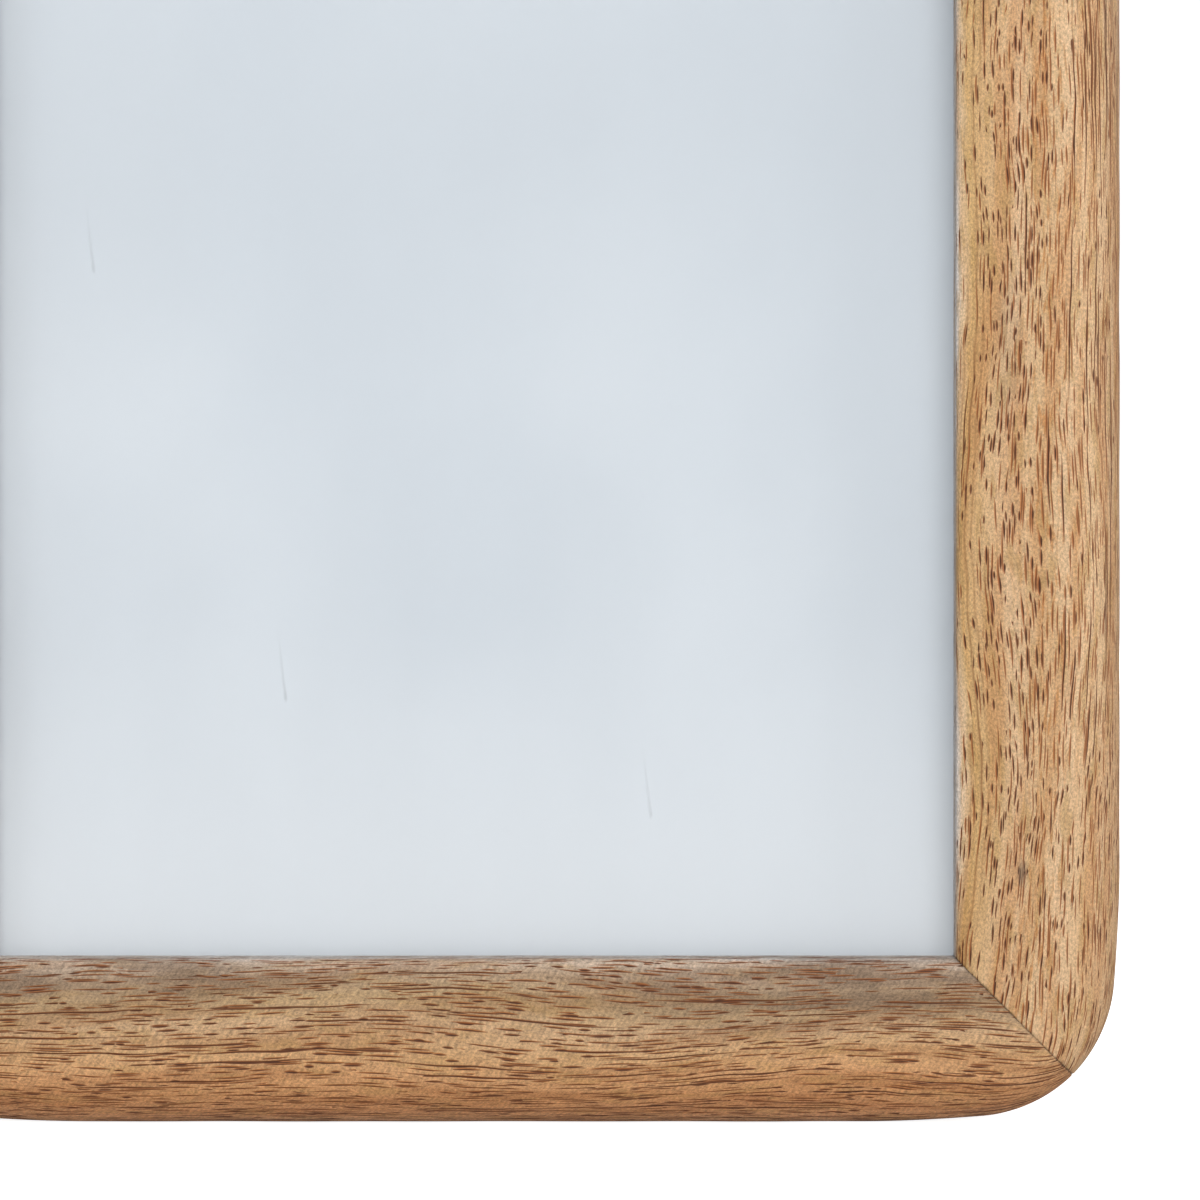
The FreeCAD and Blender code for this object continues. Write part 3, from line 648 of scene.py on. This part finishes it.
def specksOn(tree, place, look):
    # round specks, one to a Voronoi cell, in a share of the cells
    cells = addNode(tree, "ShaderNodeTexVoronoi", inputs={
        "Vector": place, "Scale": 1 / look["speckPitch"], "Randomness": 1.0})
    chance = addNode(tree, "ShaderNodeSeparateColor", inputs={"Color": cells.outputs["Color"]})
    reach = look["speckReach"]
    size = span(tree, chance.outputs[0], 0.0, 1.0, reach * 0.5, reach * 1.25)
    inside = maths(tree, "SUBTRACT", 1.0, maths(tree, "DIVIDE", cells.outputs["Distance"], size), clamp=True)
    return maths(tree, "MULTIPLY", inside, maths(tree, "LESS_THAN", chance.outputs[1], look["speckShare"]))


def paneMaterial(name, look):
    made, tree, skin = newMaterial(name)
    place = objectPlace(tree)
    specks = maths(tree, "MULTIPLY", specksOn(tree, place, look), look["speckStrength"])
    wipes = noise(tree, place, (0.05, 0.05, 0.012), 3.0, 0.6, 2.0)
    dust = maths(tree, "ADD", span(tree, wipes, 0.35, 0.75, 0.0, look["haze"]), specks)
    dust = maths(tree, "ADD", dust, maths(tree, "MULTIPLY", rubMask(tree), rubs["strength"]), clamp=True)
    clear = maths(tree, "SUBTRACT", 1.0, dust, clamp=True)
    tree.links.new(clear, skin.inputs["Transmission Weight"])
    tree.links.new(blendTone(tree, dust, look["tint"], look["dustTone"]), skin.inputs["Base Color"])
    tree.links.new(span(tree, wipes, 0.3, 0.7, *look["roughness"]), skin.inputs["Roughness"])
    skin.inputs["IOR"].default_value = look["ior"]
    # light on its way to the insert goes straight through
    through = addNode(tree, "ShaderNodeBsdfTransparent", inputs={"Color": hexTone(look["tint"])})
    path = addNode(tree, "ShaderNodeLightPath")
    lit = maths(tree, "MAXIMUM", path.outputs["Is Shadow Ray"], path.outputs["Is Diffuse Ray"])
    mixed = addNode(tree, "ShaderNodeMixShader", inputs={0: lit, 1: skin.outputs[0], 2: through.outputs[0]})
    tree.links.new(mixed.outputs[0], tree.nodes["Material Output"].inputs["Surface"])
    return made


# Insert and boards

insert = {
    "tones": ("e0e3e8", "e9ebef"),
    # tone, the heights in millimetres where it starts and where it is full, and its share there
    # painted shade: the insert darker towards its top
    "top": ("d9dce1", 85.0, 140.0, 0.8),
    # painted light: the insert lighter towards its foot, most of all beside the bottom lip
    "foot": ("f0f1f4", 70.0, 24.0, 1.0),
    "fleck": 0.012, "roughness": (0.82, 0.95),
}


def paperMaterial(name, look):
    made, tree, skin = newMaterial(name)
    place = objectPlace(tree)
    cloud = noise(tree, place, (0.021, 0.021, 0.017), 2.0, 0.5, 4.0)
    fleck = noise(tree, place, (2.6, 2.6, 2.6), 3.0, 0.6, 1.0)
    high = addNode(tree, "ShaderNodeSeparateXYZ", inputs={0: place}).outputs[2]
    tone = blendTone(tree, span(tree, cloud, 0.3, 0.7, smooth=True), *look["tones"])
    # the top tone is painted shade and the foot tone painted light
    for shade, start, full, share in (look["top"], look["foot"]):
        tone = blendTone(tree, span(tree, high, start, full, 0.0, share, True), tone, shade)
    light = maths(tree, "ADD", span(tree, fleck, 0.2, 0.8, -look["fleck"], look["fleck"]), 1.0)
    grey = addNode(tree, "ShaderNodeCombineColor", inputs={0: light, 1: light, 2: light}).outputs[0]
    tree.links.new(blendTone(tree, 1.0, tone, grey, "MULTIPLY"), skin.inputs["Base Color"])
    tree.links.new(span(tree, fleck, 0.2, 0.8, *look["roughness"]), skin.inputs["Roughness"])
    return made


card = {"tones": ("a98a63", "b8996f"), "fuzzTone": "8f7350", "roughness": (0.85, 0.98)}


def cardMaterial(name, look):
    made, tree, skin = newMaterial(name)
    place = objectPlace(tree)
    flutes = noise(tree, place, (0.45, 0.3, 0.004), 1.0, 0.4, 3.0)
    fuzz = noise(tree, place, (3.0, 3.0, 1.2), 4.0, 0.65, 6.0)
    tone = blendTone(tree, span(tree, flutes, 0.35, 0.65), *look["tones"])
    tone = blendTone(tree, span(tree, fuzz, 0.4, 0.8, 0.0, 0.5), tone, look["fuzzTone"])
    tree.links.new(tone, skin.inputs["Base Color"])
    tree.links.new(span(tree, fuzz, 0.2, 0.8, *look["roughness"]), skin.inputs["Roughness"])
    return made


hardboard = {
    "tones": ("352a22", "43362c"), "pebbleTone": "4b3d33", "cutTones": ("6a4d35", "8a6a4b"),
    "pebbles": 1.9,              # to the millimetre
    "relief": 0.06 * mm, "roughness": (0.6, 0.82),
}


def boardBackMaterial(name, look):
    # dark faced hardboard with a fine pebbled skin, and raw brown fibre where it is cut
    made, tree, skin = newMaterial(name)
    place = objectPlace(tree)
    normal = addNode(tree, "ShaderNodeTexCoord").outputs["Normal"]
    facing = addNode(tree, "ShaderNodeSeparateXYZ", inputs={0: normal})
    cut = span(tree, maths(tree, "ABSOLUTE", facing.outputs[1]), 0.9, 0.6)
    pebble = addNode(tree, "ShaderNodeTexVoronoi", {"feature": "SMOOTH_F1"},
                     {"Vector": place, "Scale": look["pebbles"], "Randomness": 1.0}).outputs["Distance"]
    wear = noise(tree, place, (0.06, 0.06, 0.05), 4.0, 0.6, 8.0)
    fuzz = noise(tree, place, (2.5, 2.5, 2.5), 4.0, 0.7, 9.0)
    tone = blendTone(tree, span(tree, wear, 0.35, 0.7), *look["tones"])
    tone = blendTone(tree, span(tree, pebble, 0.2, 0.6, 0.0, 0.35), tone, look["pebbleTone"])
    raw = blendTone(tree, span(tree, fuzz, 0.3, 0.7), *look["cutTones"])
    tree.links.new(blendTone(tree, cut, tone, raw), skin.inputs["Base Color"])
    tree.links.new(span(tree, fuzz, 0.2, 0.8, *look["roughness"]), skin.inputs["Roughness"])
    rough = maths(tree, "ADD", pebble, maths(tree, "MULTIPLY", fuzz, 0.3))
    bumpFrom(tree, skin, maths(tree, "MULTIPLY", rough, -look["relief"]))
    return made


# Metal and rubber

platings = {
    "zinc": {"bright": "c9ccce", "dull": "a4a8ab", "rough": (0.26, 0.42), "spots": 0.35},
    "brass": {"bright": "d9b56a", "dull": "b08a45", "rough": (0.24, 0.4), "spots": 0.5},
}
tarnishTone = "5d574e"
tarnishDulls = 0.2               # how much rougher a tarnished spot is
brushedRelief = 0.006 * mm


def platedMaterial(name, look):
    made, tree, skin = newMaterial(name)
    place = objectPlace(tree)
    lines = noise(tree, place, (0.7, 9.0, 9.0), 3.0, 0.6, 5.0)
    cloud = noise(tree, place, (0.35, 0.35, 0.35), 3.0, 0.6, 7.0)
    tarnish = noise(tree, place, (1.4, 1.4, 1.4), 4.0, 0.7, 9.0)
    tone = blendTone(tree, span(tree, cloud, 0.35, 0.7), look["bright"], look["dull"])
    tone = blendTone(tree, span(tree, tarnish, 0.62, 0.78, 0.0, look["spots"], True), tone, tarnishTone)
    tree.links.new(tone, skin.inputs["Base Color"])
    skin.inputs["Metallic"].default_value = 1.0
    rough = maths(tree, "ADD", span(tree, lines, 0.3, 0.7, *look["rough"]),
                  span(tree, tarnish, 0.6, 0.8, 0.0, tarnishDulls))
    tree.links.new(rough, skin.inputs["Roughness"])
    bumpFrom(tree, skin, maths(tree, "MULTIPLY", lines, brushedRelief))
    return made


rubber = {"tone": "26262a", "dustTone": "5a5854", "dust": 0.6, "roughness": (0.5, 0.8)}


def rubberMaterial(name, look):
    made, tree, skin = newMaterial(name)
    place = objectPlace(tree)
    dust = noise(tree, place, (0.9, 0.9, 0.9), 4.0, 0.65, 3.0)
    tone = blendTone(tree, span(tree, dust, 0.45, 0.75, 0.0, look["dust"]), look["tone"], look["dustTone"])
    tree.links.new(tone, skin.inputs["Base Color"])
    tree.links.new(span(tree, dust, 0.3, 0.8, *look["roughness"]), skin.inputs["Roughness"])
    return made


def dress(material, *names):
    for name in names:
        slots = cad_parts[name].data.materials
        slots.clear()
        slots.append(material)


zinc = platedMaterial("zincPlate", platings["zinc"])
brass = platedMaterial("brassPlate", platings["brass"])
backing = boardBackMaterial("facedHardboard", hardboard)
dress(paneMaterial("clearPane", pane), "glazing_pane")
dress(paperMaterial("blankInsert", insert), "insert_sheet")
dress(cardMaterial("fillerCard", card), "filler_board")
dress(backing, "back_board", "easel_leg")
dress(zinc, "corner_v_nails", "turn_button_lower_left", "turn_button_upper_left", "turn_button_lower_right",
      "turn_button_upper_right", "turn_button_screws", "hinge_board_leaf", "hinge_leg_leaf", "hinge_pin",
      "board_leaf_rivets", "leg_leaf_rivets")
dress(brass, "hanger_portrait", "hanger_landscape", "hanger_nails")
dress(rubberMaterial("bumperRubber", rubber), "wall_bumpers")
print("carried-over pieces dressed")


# Floor, light and surroundings

studio = {
    "around": 0.16,              # brightness of the white surroundings as light
    "seen": 1.05,                # and as seen by the camera
    "floorSpan": 8.0,
    "floorDrop": 0.1 * mm,       # how far below the frame the floor lies
    "floorTone": 0.85,
    "floorLift": 0.92,           # its own glow, for the camera alone
    "lamps": {
        "keyLight": {"at": (0.55, -1.45, 1.2), "size": 1.0, "watts": 9.8, "glossy": True},
        "sideLight": {"at": (-1.3, -1.5, 0.6), "size": 1.0, "watts": 4.5, "glossy": True},
        "edgeLight": {"at": (1.6, -0.35, 0.5), "size": 0.9, "watts": 8.4, "glossy": True},
        "backLight": {"at": (0.7, 1.7, 1.0), "size": 1.2, "watts": 22.0, "glossy": True},
        "frontFill": {"at": (-0.22, -1.89, 0.7), "size": 0.8, "watts": 17.0, "glossy": False},
    },
}


def makeFloor(look):
    reach = look["floorSpan"] / 2
    mesh = bpy.data.meshes.new("floor")
    corners = [(-reach, -reach), (reach, -reach), (reach, reach), (-reach, reach)]
    mesh.from_pydata([(x, y, -look["floorDrop"]) for x, y in corners], [], [(0, 1, 2, 3)])
    floor = bpy.data.objects.new("floor", mesh)
    bpy.context.scene.collection.objects.link(floor)
    made, tree = newMaterial("paleFloor")[:2]
    matt = addNode(tree, "ShaderNodeBsdfDiffuse", inputs={"Color": (*[look["floorTone"]] * 3, 1)})
    glow = addNode(tree, "ShaderNodeEmission", inputs={"Strength": look["floorLift"]})
    both = addNode(tree, "ShaderNodeAddShader", inputs={0: matt.outputs[0], 1: glow.outputs[0]})
    path = addNode(tree, "ShaderNodeLightPath")
    mixed = addNode(tree, "ShaderNodeMixShader", inputs={
        0: path.outputs["Is Camera Ray"], 1: matt.outputs[0], 2: both.outputs[0]})
    mirrored = addNode(tree, "ShaderNodeEmission", inputs={"Strength": look["around"]})
    plain = addNode(tree, "ShaderNodeMixShader", inputs={
        0: path.outputs["Is Glossy Ray"], 1: mixed.outputs[0], 2: mirrored.outputs[0]})
    tree.links.new(plain.outputs[0], tree.nodes["Material Output"].inputs["Surface"])
    mesh.materials.append(made)


def softBox(name, look):
    light = bpy.data.lights.new(name, "AREA")
    light.shape = "DISK"
    light.size = look["size"]
    light.energy = look["watts"]
    made = bpy.data.objects.new(name, light)
    made.location = look["at"]
    aim = np.array([0, 0, midHigh]) - np.array(look["at"])
    made.rotation_euler = (math.acos(-aim[2] / np.linalg.norm(aim)), 0,
                           math.atan2(aim[1], aim[0]) - math.pi / 2)
    made.visible_glossy = look["glossy"]
    bpy.context.scene.collection.objects.link(made)


def whiteRoom(look):
    world = bpy.data.worlds.new("whiteRoom")
    world.use_nodes = True
    tree = world.node_tree
    background = tree.nodes["Background"]
    background.inputs["Color"].default_value = (1, 1, 1, 1)
    path = addNode(tree, "ShaderNodeLightPath")
    tree.links.new(span(tree, path.outputs["Is Camera Ray"], 0.0, 1.0, look["around"], look["seen"]),
                   background.inputs["Strength"])
    bpy.context.scene.world = world


makeFloor(studio)
for name, lamp in studio["lamps"].items():
    softBox(name, lamp)
whiteRoom(studio)
bpy.context.scene.view_settings.view_transform = "Standard"
print("stage lit")


# Finish
